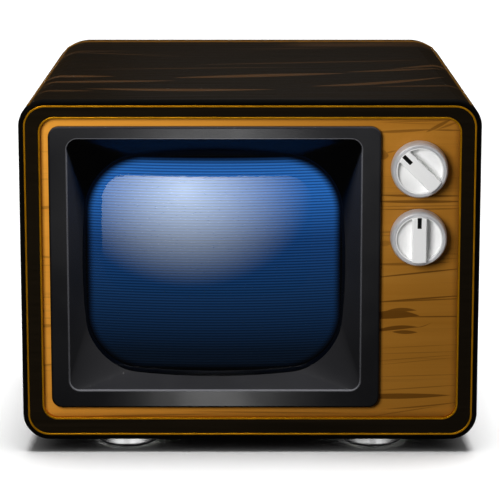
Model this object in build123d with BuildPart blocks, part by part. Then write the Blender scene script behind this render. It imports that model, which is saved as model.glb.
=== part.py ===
"""A table-top television set of the 1970s: a dark wood cabinet that narrows towards the back, a light wood
front panel in a gold-lined frame, a black screen surround, two large control knobs and four round feet.
Inside are the picture tube, its deflection parts, a chassis, a turret tuner, a volume control and a speaker.

The frame is +Z up, the front faces -Y, and the origin is on the floor under the middle of the set.
Sizes are millimetres. A depth is measured from the cabinet's front edge towards the back.
"""
from build123d import *
from math import atan2, cos, degrees, radians, sin
import os

os.makedirs("parts", exist_ok=True)

# ---------------------------------------------------------------- driving dimensions
WIDTH_FRONT = 460.0      # cabinet, at its front edge
WIDTH_REAR = 423.0       # cabinet, at its rear edge
HEIGHT = 352.0           # cabinet without its feet
CABINET_DEPTH = 320.0
CORNER_FRONT = 27.0      # outer corner radius at the front
CORNER_REAR = 40.0       # outer corner radius at the rear
WALL = 10.0              # plywood
FOOT_HEIGHT = 13.0       # floor to the cabinet's underside
KNOB_PROUD = 14.0        # how far the knobs stand in front of the cabinet
CUP_DEPTH = 46.0         # how far the tube cup stands out behind the cabinet
GAP = 0.1                # assembly gap between fitted pieces

MID_Z = FOOT_HEIGHT + HEIGHT / 2
TOP_Z = FOOT_HEIGHT + HEIGHT
FRONT_Y = -(CABINET_DEPTH + CUP_DEPTH - KNOB_PROUD) / 2   # centres the whole set on the origin

# front frame and its two gold lines
RIM = 5.2                # cabinet edge left outside the outer gold line
TRIM = 2.1               # width of a gold line
TRIM_PROUD = 0.3
FRAME_THICK = 5.0
OPENING_SIDE, OPENING_TOP, OPENING_BOTTOM = 19.8, 16.8, 21.6   # cabinet edge to the frame's opening
OPENING_CORNER = 16.0
PANEL_THICK = 8.0

# screen surround and picture tube
BEZEL_X, BEZEL_Z, BEZEL_W, BEZEL_H, BEZEL_R = -35.0, 192.6, 331.0, 291.0, 11.0
WINDOW_X, WINDOW_Z, WINDOW_W, WINDOW_H, WINDOW_R = -35.5, 195.4, 293.7, 261.0, 11.0
SCREEN_X, SCREEN_Z = -36.5, 190.4
SCREEN_W, SCREEN_H, SCREEN_R = 258.0, 223.7, 58.0
SCREEN_BULGE_X, SCREEN_BULGE_Z = 7.0, 4.0     # how far the screen outline's sides bow out
WINDOW_STEP = 2.0        # drop from the surround's flat band to its funnel
LIP_DEPTH = 30.0         # depth at which the funnel has the screen's size
BEZEL_WALL = 3.0
FACE_RADIUS = 640.0      # the glass face is part of a sphere
FACE_APEX = 11.0         # depth of the glass at its middle
GLASS_MARGIN = 9.0       # glass beyond the visible screen
SKIRT_DEPTH = 58.0       # depth at which the face glass meets the funnel glass
CONE_DEPTH, CONE_R = 150.0, 48.0
NECK_START, NECK_END, NECK_R = 195.0, 296.0, 14.5

# controls
KNOB_X, CHANNEL_Z, VOLUME_Z = 168.4, 295.0, 225.1
KNOB_R = 28.5
SHAFT_R, BUSH_R = 3.0, 4.7
CHANNEL_ANGLE = 45.0     # the channel pointer rests this far anticlockwise of upright

# loudspeaker, on the right-hand wall
SPEAKER_DEPTH, SPEAKER_Z, SPEAKER_R = 105.0, 110.0, 38.0

# rear
COVER_FRONT, COVER_THICK = 311.0, 3.0
COVER_BACK = COVER_FRONT + COVER_THICK
CUP_R = 43.0
PRESET_X = (-150.0, -118.0, -86.0)
PRESET_Z = 62.0
TERMINAL_X, TERMINAL_Z = 118.0, 262.0
INLET_X, INLET_Z = 128.0, 62.0


# ---------------------------------------------------------------- helpers
def front_plane(depth, x=0.0, z=MID_Z):
    """A plane parallel to the front, facing forwards, with its origin at x, z and that depth."""
    return Plane(origin=(x, FRONT_Y + depth, z), x_dir=(1, 0, 0), z_dir=(0, -1, 0))


def turned_plane(depth, x, z, angle):
    """The same plane with its axes turned anticlockwise by angle, as seen from the front."""
    turn = radians(angle)
    return Plane(origin=(x, FRONT_Y + depth, z), x_dir=(cos(turn), 0, sin(turn)), z_dir=(0, -1, 0))


def axis_plane(x, z):
    """A plane through the front-to-back axis at x, z: its first axis is depth, its second is height."""
    return Plane(origin=(x, FRONT_Y, z), x_dir=(0, 1, 0), z_dir=(1, 0, 0))


def depth_axis(x, z):
    """The front-to-back axis at x, z."""
    return Axis((x, FRONT_Y, z), (0, 1, 0))


def cabinet_section(depth, inset=0.0):
    """Width, height and corner radius of the cabinet's outline at a depth, moved in by inset."""
    share = depth / CABINET_DEPTH
    width = WIDTH_FRONT + (WIDTH_REAR - WIDTH_FRONT) * share
    corner = CORNER_FRONT + (CORNER_REAR - CORNER_FRONT) * share
    return width - 2 * inset, HEIGHT - 2 * inset, corner - inset


def tapered_block(near, far, inset):
    """The cabinet's solid outline between two depths, moved in by inset."""
    with BuildPart() as block:
        for depth in (near, far):
            with BuildSketch(front_plane(depth)):
                RectangleRounded(*cabinet_section(depth, inset))
        loft(ruled=True)
    return block.part


def screen_outline(grow=0.0):
    """The screen's outline as a sketch, with bowed sides and round corners, moved out by grow."""
    half_w, half_h = SCREEN_W / 2 + grow, SCREEN_H / 2 + grow
    corner_x, corner_z = half_w - SCREEN_BULGE_X, half_h - SCREEN_BULGE_Z
    with BuildSketch() as outline:
        with BuildLine():
            ThreePointArc((-corner_x, -corner_z), (0, -half_h), (corner_x, -corner_z))
            ThreePointArc((corner_x, -corner_z), (half_w, 0), (corner_x, corner_z))
            ThreePointArc((corner_x, corner_z), (0, half_h), (-corner_x, corner_z))
            ThreePointArc((-corner_x, corner_z), (-half_w, 0), (-corner_x, -corner_z))
        make_face()
        fillet(outline.vertices(), SCREEN_R + grow)
    return outline.sketch


def domed(radius, grow, back):
    """A block with the screen's outline whose front is the sphere of that radius about the tube's centre."""
    with BuildPart() as block:
        with BuildSketch(front_plane(0, SCREEN_X, SCREEN_Z)):
            add(screen_outline(grow))
        extrude(amount=-back)
        with Locations((SCREEN_X, FRONT_Y + FACE_APEX + FACE_RADIUS, SCREEN_Z)):
            Sphere(radius, mode=Mode.INTERSECT)
    return block.part


def ring_points(spread_x, spread_z, x=0.0, z=0.0):
    """The four corners of a rectangle about x, z."""
    return [(x + i * spread_x, z + k * spread_z) for i in (-1, 1) for k in (-1, 1)]


# ---------------------------------------------------------------- cabinet
side_slope = (WIDTH_FRONT - WIDTH_REAR) / 2 / CABINET_DEPTH
wall_x = WIDTH_FRONT / 2 - WALL - side_slope * SPEAKER_DEPTH
speaker_plane = Plane(
    origin=(wall_x, FRONT_Y + SPEAKER_DEPTH, SPEAKER_Z),
    x_dir=(-side_slope, 1, 0),
    z_dir=(-1, -side_slope, 0),
)

SLOT_PITCH = 7.4         # between the speaker's slots
FOOT_X = 125.0
FOOT_R = 32.0
FOOT_FRONT_DEPTH, FOOT_REAR_DEPTH = 43.0, 272.0
FOOT_STUD_R = 4.0

SHAVE = 0.1              # planed off the top and the underside, which makes them truly flat

with BuildPart() as cabinet_shell:
    add(tapered_block(0, CABINET_DEPTH, -SHAVE))
    with BuildSketch(front_plane(0)):
        Rectangle(WIDTH_FRONT + 10, HEIGHT)
    extrude(amount=-CABINET_DEPTH, mode=Mode.INTERSECT)
    add(tapered_block(0, CABINET_DEPTH, WALL), mode=Mode.SUBTRACT)
    with BuildSketch(front_plane(0)):
        RectangleRounded(*cabinet_section(0, RIM))
    extrude(amount=-FRAME_THICK - GAP, mode=Mode.SUBTRACT)
    fillet(cabinet_shell.faces().sort_by(Axis.Y)[0].outer_wire().edges(), radius=4.2)
    fillet(cabinet_shell.faces().sort_by(Axis.Y)[-1].outer_wire().edges(), radius=4.0)
    with BuildSketch(speaker_plane.offset(0.5)):
        with GridLocations(0, SLOT_PITCH, 1, 9):
            SlotOverall(62, 3.2)
    extrude(amount=-WALL - 1.5, mode=Mode.SUBTRACT)
    with BuildSketch(Plane.XY.offset(FOOT_HEIGHT)):
        for depth in (FOOT_FRONT_DEPTH, FOOT_REAR_DEPTH):
            with Locations((-FOOT_X, FRONT_Y + depth), (FOOT_X, FRONT_Y + depth)):
                Circle(FOOT_STUD_R + GAP)
    extrude(amount=WALL, both=True, mode=Mode.SUBTRACT)
cabinet_shell.part.label = "cabinet_shell"

opening_w = WIDTH_FRONT - 2 * OPENING_SIDE
opening_h = HEIGHT - OPENING_TOP - OPENING_BOTTOM
opening_z = MID_Z + (OPENING_BOTTOM - OPENING_TOP) / 2

with BuildPart() as face_frame:
    with BuildSketch(front_plane(0)):
        RectangleRounded(*cabinet_section(0, RIM + TRIM + 2 * GAP))
    extrude(amount=-FRAME_THICK)
    with BuildSketch(front_plane(0, 0, opening_z)):
        RectangleRounded(opening_w, opening_h, OPENING_CORNER)
    extrude(amount=-FRAME_THICK, mode=Mode.SUBTRACT)
    fillet(face_frame.faces().sort_by(Axis.Y)[0].edges(), radius=0.6)
face_frame.part.label = "face_frame"

with BuildPart() as outer_trim:
    with BuildSketch(front_plane(-TRIM_PROUD)):
        RectangleRounded(*cabinet_section(0, RIM + GAP))
        RectangleRounded(*cabinet_section(0, RIM + TRIM), mode=Mode.SUBTRACT)
    extrude(amount=-FRAME_THICK - TRIM_PROUD)
    fillet(outer_trim.faces().sort_by(Axis.Y)[0].edges(), radius=0.5)
outer_trim.part.label = "outer_trim"

with BuildPart() as inner_trim:
    with BuildSketch(front_plane(-TRIM_PROUD, 0, opening_z)):
        RectangleRounded(opening_w - 2 * GAP, opening_h - 2 * GAP, OPENING_CORNER - GAP)
        RectangleRounded(
            opening_w - 2 * TRIM, opening_h - 2 * TRIM, OPENING_CORNER - TRIM, mode=Mode.SUBTRACT
        )
    extrude(amount=-FRAME_THICK - TRIM_PROUD)
    fillet(inner_trim.faces().sort_by(Axis.Y)[0].edges(), radius=0.5)
inner_trim.part.label = "inner_trim"

PANEL_FRONT = FRAME_THICK + GAP
PANEL_BACK = PANEL_FRONT + PANEL_THICK
PANEL_CUT_W, PANEL_CUT_H, PANEL_CUT_R = WINDOW_W + 8, WINDOW_H + 8, 15.0
POST_X, POST_Z, POST_SCREW_R = 162.0, 100.0, 2.5
bezel_screw_points = ring_points(158.5, 70, BEZEL_X, BEZEL_Z)
bezel_screw_points += [(BEZEL_X, BEZEL_Z + BEZEL_H / 2 - 5), (BEZEL_X, BEZEL_Z - BEZEL_H / 2 + 8)]
BEZEL_SCREW_R = 1.5

with BuildPart() as front_panel:
    with BuildSketch(front_plane(PANEL_FRONT)):
        RectangleRounded(*cabinet_section(PANEL_BACK, WALL + GAP))
    extrude(amount=-PANEL_THICK)
    with BuildSketch(front_plane(PANEL_FRONT, WINDOW_X, WINDOW_Z)):
        RectangleRounded(PANEL_CUT_W, PANEL_CUT_H, PANEL_CUT_R)
    extrude(amount=-PANEL_THICK, mode=Mode.SUBTRACT)
    with BuildSketch(front_plane(PANEL_FRONT, 0, 0)):
        with Locations((KNOB_X, CHANNEL_Z), (KNOB_X, VOLUME_Z)):
            Circle(BUSH_R + GAP)
        with Locations(*bezel_screw_points):
            Circle(BEZEL_SCREW_R + GAP)
    extrude(amount=-PANEL_THICK, mode=Mode.SUBTRACT)
front_panel.part.label = "front_panel"

CLEAT = 14.0             # section of the wood strips that the rear cover is screwed to
CLEAT_X, CLEAT_Z = 199.0, 166.0
COVER_SCREW_R = 1.8
cover_screw_points = ring_points(192, 90, 0, MID_Z) + ring_points(95, 158.5, 0, MID_Z)

with BuildPart() as back_cleats:
    with BuildSketch(front_plane(COVER_FRONT)):
        with Locations((-CLEAT_X, 0), (CLEAT_X, 0)):
            Rectangle(2 * CLEAT, 230)
        with Locations((0, -CLEAT_Z), (0, CLEAT_Z)):
            Rectangle(250, 2 * CLEAT)
    extrude(amount=CLEAT)
    add(tapered_block(COVER_FRONT - 2 * CLEAT, CABINET_DEPTH, WALL), mode=Mode.INTERSECT)
    with BuildSketch(front_plane(COVER_FRONT, 0, 0)):
        with Locations(*cover_screw_points):
            Circle(COVER_SCREW_R + GAP)
    extrude(amount=CLEAT - 2, mode=Mode.SUBTRACT)
back_cleats.part.label = "back_cleats"

# ---------------------------------------------------------------- feet
FOOT_EDGE = 5.0
PAD_R, PAD_THICK, PAD_PROUD = 22.0, 3.0, 1.5
foot_places = {
    "foot_front_left": (-FOOT_X, FOOT_FRONT_DEPTH),
    "foot_front_right": (FOOT_X, FOOT_FRONT_DEPTH),
    "foot_rear_left": (-FOOT_X, FOOT_REAR_DEPTH),
    "foot_rear_right": (FOOT_X, FOOT_REAR_DEPTH),
}
feet = []
for foot_name, (foot_x, foot_depth) in foot_places.items():
    with BuildPart() as foot:
        with BuildSketch(front_plane(foot_depth, foot_x, 0)):
            with BuildLine():
                Polyline(
                    (0, PAD_THICK), (PAD_R + GAP, PAD_THICK), (PAD_R + GAP, PAD_PROUD),
                    (FOOT_R - FOOT_EDGE, PAD_PROUD),
                )
                RadiusArc(
                    (FOOT_R - FOOT_EDGE, PAD_PROUD), (FOOT_R, PAD_PROUD + FOOT_EDGE), -FOOT_EDGE
                )
                Polyline(
                    (FOOT_R, PAD_PROUD + FOOT_EDGE), (FOOT_R + 0.8, FOOT_HEIGHT),
                    (FOOT_STUD_R, FOOT_HEIGHT), (FOOT_STUD_R, FOOT_HEIGHT + WALL - 1),
                    (0, FOOT_HEIGHT + WALL - 1), (0, PAD_THICK),
                )
            make_face()
        revolve(axis=Axis((foot_x, FRONT_Y + foot_depth, 0), (0, 0, 1)))
    foot.part.label = foot_name
    feet.append(foot)

with BuildPart() as foot_pads:
    with BuildSketch(Plane.XY):
        for foot_x, foot_depth in foot_places.values():
            with Locations((foot_x, FRONT_Y + foot_depth)):
                Circle(PAD_R)
    extrude(amount=PAD_THICK - GAP)
foot_pads.part.label = "foot_pads"

# ---------------------------------------------------------------- screen surround
with BuildPart() as screen_bezel:
    with BuildSketch(front_plane(0, BEZEL_X, BEZEL_Z)):
        RectangleRounded(BEZEL_W, BEZEL_H, BEZEL_R)
    extrude(amount=-FRAME_THICK)
    fillet(screen_bezel.faces().sort_by(Axis.Y)[0].edges(), radius=2.0)
    with BuildSketch(front_plane(FRAME_THICK - 2, WINDOW_X, WINDOW_Z)):
        RectangleRounded(
            WINDOW_W + 2 * BEZEL_WALL, WINDOW_H + 2 * BEZEL_WALL, WINDOW_R + BEZEL_WALL
        )
    with BuildSketch(front_plane(LIP_DEPTH, SCREEN_X, SCREEN_Z)):
        add(screen_outline(BEZEL_WALL))
    loft(ruled=True)
    with BuildSketch(front_plane(WINDOW_STEP, WINDOW_X, WINDOW_Z)):
        RectangleRounded(WINDOW_W, WINDOW_H, WINDOW_R)
    with BuildSketch(front_plane(LIP_DEPTH, SCREEN_X, SCREEN_Z)):
        add(screen_outline())
    loft(ruled=True, mode=Mode.SUBTRACT)
    with BuildSketch(front_plane(0, WINDOW_X, WINDOW_Z)):
        RectangleRounded(WINDOW_W, WINDOW_H, WINDOW_R)
    extrude(amount=-WINDOW_STEP, mode=Mode.SUBTRACT)
    add(domed(FACE_RADIUS + 0.3, GLASS_MARGIN + 3, SKIRT_DEPTH), mode=Mode.SUBTRACT)
    with BuildSketch(front_plane(FRAME_THICK, 0, 0)):
        with Locations(*bezel_screw_points):
            Circle(BEZEL_SCREW_R + GAP)
    extrude(amount=FRAME_THICK - 1.6, mode=Mode.SUBTRACT)
screen_bezel.part.label = "screen_bezel"

# ---------------------------------------------------------------- picture tube
GLASS = 9.0
PHOSPHOR = 0.6

with BuildPart() as crt_faceplate:
    add(domed(FACE_RADIUS, GLASS_MARGIN, SKIRT_DEPTH))
    add(domed(FACE_RADIUS - GLASS, GLASS_MARGIN - GLASS, SKIRT_DEPTH), mode=Mode.SUBTRACT)
crt_faceplate.part.label = "crt_faceplate"

with BuildPart() as phosphor_screen:
    add(domed(FACE_RADIUS - GLASS - GAP, -GAP - 0.2, SKIRT_DEPTH))
    with Locations((SCREEN_X, FRONT_Y + FACE_APEX + FACE_RADIUS, SCREEN_Z)):
        Sphere(FACE_RADIUS - GLASS - GAP - PHOSPHOR, mode=Mode.SUBTRACT)
phosphor_screen.part.label = "phosphor_screen"

FUNNEL_GLASS = 4.0
cone_slope = (CONE_R - NECK_R) / (NECK_START - CONE_DEPTH)
funnel_axis = depth_axis(SCREEN_X, SCREEN_Z)


def cone_radius(depth):
    """Outside radius of the tube's cone between its widest and the neck."""
    return CONE_R - cone_slope * (depth - CONE_DEPTH)


def tube_inside(inset, start, end):
    """The tube's funnel, cone and neck moved in by inset, from a start to an end depth."""
    with BuildPart() as block:
        with BuildSketch(front_plane(start, SCREEN_X, SCREEN_Z)):
            add(screen_outline(GLASS_MARGIN - inset))
        with BuildSketch(front_plane(CONE_DEPTH, SCREEN_X, SCREEN_Z)):
            Circle(CONE_R - inset)
        loft(ruled=True)
        with BuildSketch(axis_plane(SCREEN_X, SCREEN_Z)):
            Polygon(
                (CONE_DEPTH, 0), (CONE_DEPTH, CONE_R - inset), (NECK_START, NECK_R - inset),
                (end, NECK_R - inset), (end, 0), align=None,
            )
        revolve(axis=funnel_axis)
    return block.part


with BuildPart() as crt_funnel:
    add(tube_inside(0, SKIRT_DEPTH + GAP, NECK_END))
    add(tube_inside(FUNNEL_GLASS * 0.6, SKIRT_DEPTH + GAP, NECK_END - 2), mode=Mode.SUBTRACT)
crt_funnel.part.label = "crt_funnel"

BAND_NEAR, BAND_FAR, BAND_THICK, EAR_THICK = 34.0, 54.0, 1.4, 2.0
with BuildPart() as tube_band:
    with BuildSketch(front_plane(BAND_NEAR, SCREEN_X, SCREEN_Z)):
        add(screen_outline(GLASS_MARGIN + 0.2 + BAND_THICK))
    extrude(amount=BAND_NEAR - BAND_FAR)
    with BuildSketch(front_plane(BAND_NEAR, SCREEN_X, SCREEN_Z)):
        with Locations(*ring_points(POST_X - 25, POST_Z)):
            RectangleRounded(70, 20, 4)
    extrude(amount=-EAR_THICK)
    with BuildSketch(front_plane(BAND_NEAR, SCREEN_X, SCREEN_Z)):
        add(screen_outline(GLASS_MARGIN + 0.2))
        with Locations(*ring_points(POST_X, POST_Z)):
            Circle(POST_SCREW_R + GAP)
    extrude(amount=BAND_NEAR - BAND_FAR, mode=Mode.SUBTRACT)
tube_band.part.label = "tube_band"

with BuildPart() as tube_mount_posts:
    with BuildSketch(front_plane(PANEL_BACK, SCREEN_X, SCREEN_Z)):
        with Locations(*ring_points(POST_X, POST_Z)):
            RegularPolygon(6.0, 6)
            Circle(POST_SCREW_R + GAP, mode=Mode.SUBTRACT)
    extrude(amount=PANEL_BACK - BAND_NEAR)
tube_mount_posts.part.label = "tube_mount_posts"

band_points = ring_points(POST_X, POST_Z, SCREEN_X, SCREEN_Z)
with BuildPart() as front_screws:
    with BuildSketch(front_plane(BAND_NEAR + EAR_THICK, 0, 0)):
        with Locations(*band_points):
            Circle(POST_SCREW_R)
    extrude(amount=18)
    with BuildSketch(front_plane(BAND_NEAR + EAR_THICK, 0, 0)):
        with Locations(*band_points):
            RegularPolygon(4.6, 6)
    extrude(amount=-3.5)
    with BuildSketch(front_plane(PANEL_BACK, 0, 0)):
        with Locations(*bezel_screw_points):
            Circle(BEZEL_SCREW_R)
    extrude(amount=PANEL_THICK + 3)
    with BuildSketch(front_plane(PANEL_BACK, 0, 0)):
        with Locations(*bezel_screw_points):
            Circle(2 * BEZEL_SCREW_R)
    extrude(amount=-2)
front_screws.part.label = "front_screws"

with BuildPart() as electron_gun:
    with BuildSketch(axis_plane(SCREEN_X, SCREEN_Z)):
        Polygon(
            (212, 0), (212, 9), (228, 9), (228, 6.5), (232, 6.5), (232, 10), (250, 10),
            (250, 6.5), (254, 6.5), (254, 10), (266, 10), (266, 7), (270, 7), (270, 9),
            (286, 9), (286, 3), (NECK_END - 2, 3), (NECK_END - 2, 0), align=None,
        )
    revolve(axis=funnel_axis)
electron_gun.part.label = "electron_gun"

BASE_R, PIN_R, PIN_CIRCLE = 12.0, 0.6, 7.5
SOCKET_NEAR, SOCKET_FAR = NECK_END + 9, NECK_END + 22
with BuildPart() as tube_base:
    with BuildSketch(front_plane(NECK_END, SCREEN_X, SCREEN_Z)):
        Circle(BASE_R)
    extrude(amount=-8)
    with BuildSketch(front_plane(NECK_END + 8, SCREEN_X, SCREEN_Z)):
        with PolarLocations(PIN_CIRCLE, 8):
            Circle(PIN_R)
    extrude(amount=-8)
tube_base.part.label = "tube_base"

with BuildPart() as tube_socket_board:
    with BuildSketch(front_plane(SOCKET_NEAR, SCREEN_X, SCREEN_Z)):
        Circle(15)
    extrude(amount=SOCKET_NEAR - SOCKET_FAR)
    with BuildSketch(front_plane(SOCKET_FAR, SCREEN_X, SCREEN_Z)):
        Circle(34)
        with Locations((0, -34)):
            Rectangle(40, 12, mode=Mode.SUBTRACT)
    extrude(amount=-1.6)
    with BuildSketch(front_plane(SOCKET_NEAR, SCREEN_X, SCREEN_Z)):
        with PolarLocations(PIN_CIRCLE, 8):
            Circle(PIN_R + GAP)
    extrude(amount=-9, mode=Mode.SUBTRACT)
tube_socket_board.part.label = "tube_socket_board"

# ---------------------------------------------------------------- deflection parts on the tube's neck
COIL_GAP = 0.8
with BuildPart() as yoke_coils:
    with BuildSketch(axis_plane(SCREEN_X, SCREEN_Z)):
        Polygon(
            (160, cone_radius(160) + COIL_GAP), (NECK_START + 1, NECK_R + COIL_GAP),
            (208, NECK_R + COIL_GAP), (208, 26), (200, 26), (168, 48), (168, 56), (160, 56),
            align=None,
        )
    revolve(axis=funnel_axis)
yoke_coils.part.label = "yoke_coils"

with BuildPart() as yoke_core:
    with BuildSketch(axis_plane(SCREEN_X, SCREEN_Z)):
        Polygon((170, 47.4), (198, 28.2), (198, 40), (170, 57), align=None)
    revolve(axis=funnel_axis)
yoke_core.part.label = "yoke_core"

RING_HOLE_R, RING_R, RING_THICK = NECK_R + 0.3, 24.0, 2.0
centering_rings = []
for ring_name, ring_depth, tab_angle in (
    ("centering_ring_front", 216.0, 70.0), ("centering_ring_rear", 219.0, 110.0)
):
    with BuildPart() as ring:
        with BuildSketch(front_plane(ring_depth, SCREEN_X, SCREEN_Z)):
            Circle(RING_R)
            with PolarLocations(RING_R + 2, 1, start_angle=tab_angle):
                RectangleRounded(12, 8, 2)
            Circle(RING_HOLE_R, mode=Mode.SUBTRACT)
        extrude(amount=-RING_THICK)
    ring.part.label = ring_name
    centering_rings.append(ring)

# the anode connection, on top of the funnel
ANODE_DEPTH = 104.0
funnel_half = SCREEN_H / 2 + GLASS_MARGIN
funnel_drop = (funnel_half - CONE_R) / (CONE_DEPTH - SKIRT_DEPTH)
anode_z = SCREEN_Z + funnel_half - funnel_drop * (ANODE_DEPTH - SKIRT_DEPTH)
anode_plane = Plane(
    origin=(SCREEN_X, FRONT_Y + ANODE_DEPTH, anode_z), x_dir=(1, 0, 0), z_dir=(0, funnel_drop, 1)
).offset(0.3)
LEAD_R = 2.2

with BuildPart() as anode_cap:
    with BuildSketch(anode_plane):
        Circle(14)
    extrude(amount=6, taper=35)
    with BuildSketch(anode_plane.offset(3)):
        Circle(6)
    extrude(amount=7)
anode_cap.part.label = "anode_cap"

FLYBACK_X, FLYBACK_DEPTH = -118.0, 246.0
BOARD_Z, BOARD_THICK = 38.0, 1.6
BOARD_TOP = BOARD_Z + BOARD_THICK
lead_start = anode_plane.offset(10 + GAP).origin
flyback_top = BOARD_TOP + 78
lead_route = [
    lead_start,
    anode_plane.offset(25).origin,
    Vector(SCREEN_X - 22, FRONT_Y + ANODE_DEPTH + 46, anode_z + 20),
    Vector(SCREEN_X - 52, FRONT_Y + ANODE_DEPTH + 84, anode_z + 2),
    Vector(SCREEN_X - 74, FRONT_Y + ANODE_DEPTH + 116, anode_z - 38),
    Vector(FLYBACK_X, FRONT_Y + FLYBACK_DEPTH, flyback_top + 40),
    Vector(FLYBACK_X, FRONT_Y + FLYBACK_DEPTH, flyback_top + GAP),
]


def bend_radii(route):
    """The largest radius that fits each inner point of a route: 0.45 of the shorter run over tan(turn / 2)."""
    radii = []
    for before, here, after in zip(route, route[1:], route[2:]):
        run_in, run_out = here - before, after - here
        turn = radians(run_in.get_angle(run_out))
        radii.append(0.45 * min(run_in.length, run_out.length) * cos(turn / 2) / sin(turn / 2))
    return radii


lead_radii = bend_radii(lead_route)
print("anode lead bend radii", [round(r, 1) for r in lead_radii])
with BuildPart() as anode_lead:
    with BuildLine() as lead_line:
        FilletPolyline(*lead_route, radius=lead_radii)
    with BuildSketch(Plane(origin=lead_route[0], z_dir=lead_route[1] - lead_route[0])):
        Circle(LEAD_R)
    sweep()
anode_lead.part.label = "anode_lead"

# ---------------------------------------------------------------- chassis and its electronics
FLOOR_Z = FOOT_HEIGHT + WALL
CHASSIS_NEAR, CHASSIS_FAR = 72.0, 296.0
CHASSIS_W, CHASSIS_H, SHEET = 330.0, 12.0, 1.2
PAN_Z = FLOOR_Z + 4
chassis_mid_y = FRONT_Y + (CHASSIS_NEAR + CHASSIS_FAR) / 2
chassis_length = CHASSIS_FAR - CHASSIS_NEAR
standoff_points = ring_points(140, 95, 0, chassis_mid_y)

with BuildPart() as chassis_frame:
    with BuildSketch(Plane.XY.offset(PAN_Z)):
        with Locations((0, chassis_mid_y)):
            RectangleRounded(CHASSIS_W, chassis_length, 4)
    extrude(amount=CHASSIS_H)
    with BuildSketch(Plane.XY.offset(PAN_Z + SHEET)):
        with Locations((0, chassis_mid_y)):
            RectangleRounded(CHASSIS_W - 2 * SHEET, chassis_length - 2 * SHEET, 3)
    extrude(amount=CHASSIS_H, mode=Mode.SUBTRACT)
    with BuildSketch(Plane.XY.offset(FLOOR_Z)):
        with Locations(*ring_points(150, 100, 0, chassis_mid_y)):
            Circle(8)
    extrude(amount=PAN_Z - FLOOR_Z)
    with BuildSketch(Plane.XY.offset(PAN_Z + SHEET)):
        with Locations(*standoff_points):
            Circle(4)
    extrude(amount=BOARD_Z - PAN_Z - SHEET)
chassis_frame.part.label = "chassis_frame"

with BuildPart() as main_board:
    with BuildSketch(Plane.XY.offset(BOARD_Z)):
        with Locations((0, chassis_mid_y)):
            RectangleRounded(CHASSIS_W - 12, chassis_length - 14, 3)
    extrude(amount=BOARD_THICK)
    with BuildSketch(Plane.XY.offset(BOARD_TOP)):
        with Locations(*standoff_points):
            Circle(3.5)
    extrude(amount=2.2)
    with BuildSketch(Plane.XY.offset(BOARD_TOP)):
        with Locations((SCREEN_X, FRONT_Y + 150)):
            with GridLocations(26, 17, 8, 4):
                Rectangle(9, 4)
        with Locations((SCREEN_X + 13, FRONT_Y + 141)):
            with GridLocations(26, 34, 7, 2):
                Circle(4)
    extrude(amount=7)
main_board.part.label = "main_board"

TRANSFORMER_X, TRANSFORMER_DEPTH = 112.0, 236.0
with BuildPart() as power_transformer:
    with BuildSketch(Plane.XY.offset(BOARD_TOP)):
        with Locations((TRANSFORMER_X, FRONT_Y + TRANSFORMER_DEPTH)):
            Rectangle(66, 26)
    extrude(amount=56)
    with BuildSketch(Plane.XY.offset(BOARD_TOP + 11)):
        with Locations((TRANSFORMER_X, FRONT_Y + TRANSFORMER_DEPTH)):
            RectangleRounded(42, 52, 6)
    extrude(amount=34)
    with BuildSketch(Plane.XY.offset(BOARD_TOP)):
        with Locations((TRANSFORMER_X, FRONT_Y + TRANSFORMER_DEPTH)):
            RectangleRounded(84, 26, 3)
    extrude(amount=2)
power_transformer.part.label = "power_transformer"

with BuildPart() as flyback_transformer:
    with Locations((FLYBACK_X, FRONT_Y + FLYBACK_DEPTH, BOARD_TOP + 34)):
        Box(58, 14, 68)
        Box(32, 15, 42, mode=Mode.SUBTRACT)
    with BuildSketch(Plane.XY.offset(BOARD_TOP + 16)):
        with Locations((FLYBACK_X, FRONT_Y + FLYBACK_DEPTH)):
            Circle(15.5)
    extrude(amount=36)
    with BuildSketch(Plane.XY.offset(BOARD_TOP + 24)):
        with Locations((FLYBACK_X, FRONT_Y + FLYBACK_DEPTH)):
            Circle(23)
    extrude(amount=20)
    with BuildSketch(Plane.XY.offset(BOARD_TOP + 68)):
        with Locations((FLYBACK_X, FRONT_Y + FLYBACK_DEPTH)):
            Circle(8)
    extrude(amount=10, taper=15)
flyback_transformer.part.label = "flyback_transformer"

CAN_GAP = 2.0
can_sizes = ((-62, 262, 15, 52), (-26, 262, 15, 52), (8, 262, 12.5, 40), (40, 262, 12.5, 40))
with BuildPart() as electrolytic_capacitors:
    for can_x, can_depth, can_r, can_h in can_sizes:
        with Locations((can_x, FRONT_Y + can_depth, BOARD_TOP + can_h / 2)):
            Cylinder(can_r, can_h)
    fillet(electrolytic_capacitors.faces().filter_by(Axis.Z).group_by(Axis.Z)[-1].edges(), 2)
    fillet(electrolytic_capacitors.faces().filter_by(Axis.Z).group_by(Axis.Z)[-2].edges(), 2)
electrolytic_capacitors.part.label = "electrolytic_capacitors"

SINK_X, SINK_DEPTH, SINK_FINS, FIN_PITCH = -50.0, 222.0, 9, 7.0
with BuildPart() as heat_sink:
    with BuildSketch(Plane.XY.offset(BOARD_TOP)):
        with Locations((SINK_X, FRONT_Y + SINK_DEPTH)):
            Rectangle(SINK_FINS * FIN_PITCH, 3)
            with GridLocations(FIN_PITCH, 0, SINK_FINS, 1):
                Rectangle(1.6, 20)
    extrude(amount=46)
heat_sink.part.label = "heat_sink"

# ---------------------------------------------------------------- tuner and volume control
BRACKET_THICK = 1.5
CASE_NEAR = PANEL_BACK + BRACKET_THICK
CASE_W, CASE_H, CASE_LENGTH, CASE_WALL = 60.0, 60.0, 104.0, 1.2
CASE_FAR = CASE_NEAR + CASE_LENGTH
bush_front = PANEL_FRONT - 3.5

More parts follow.
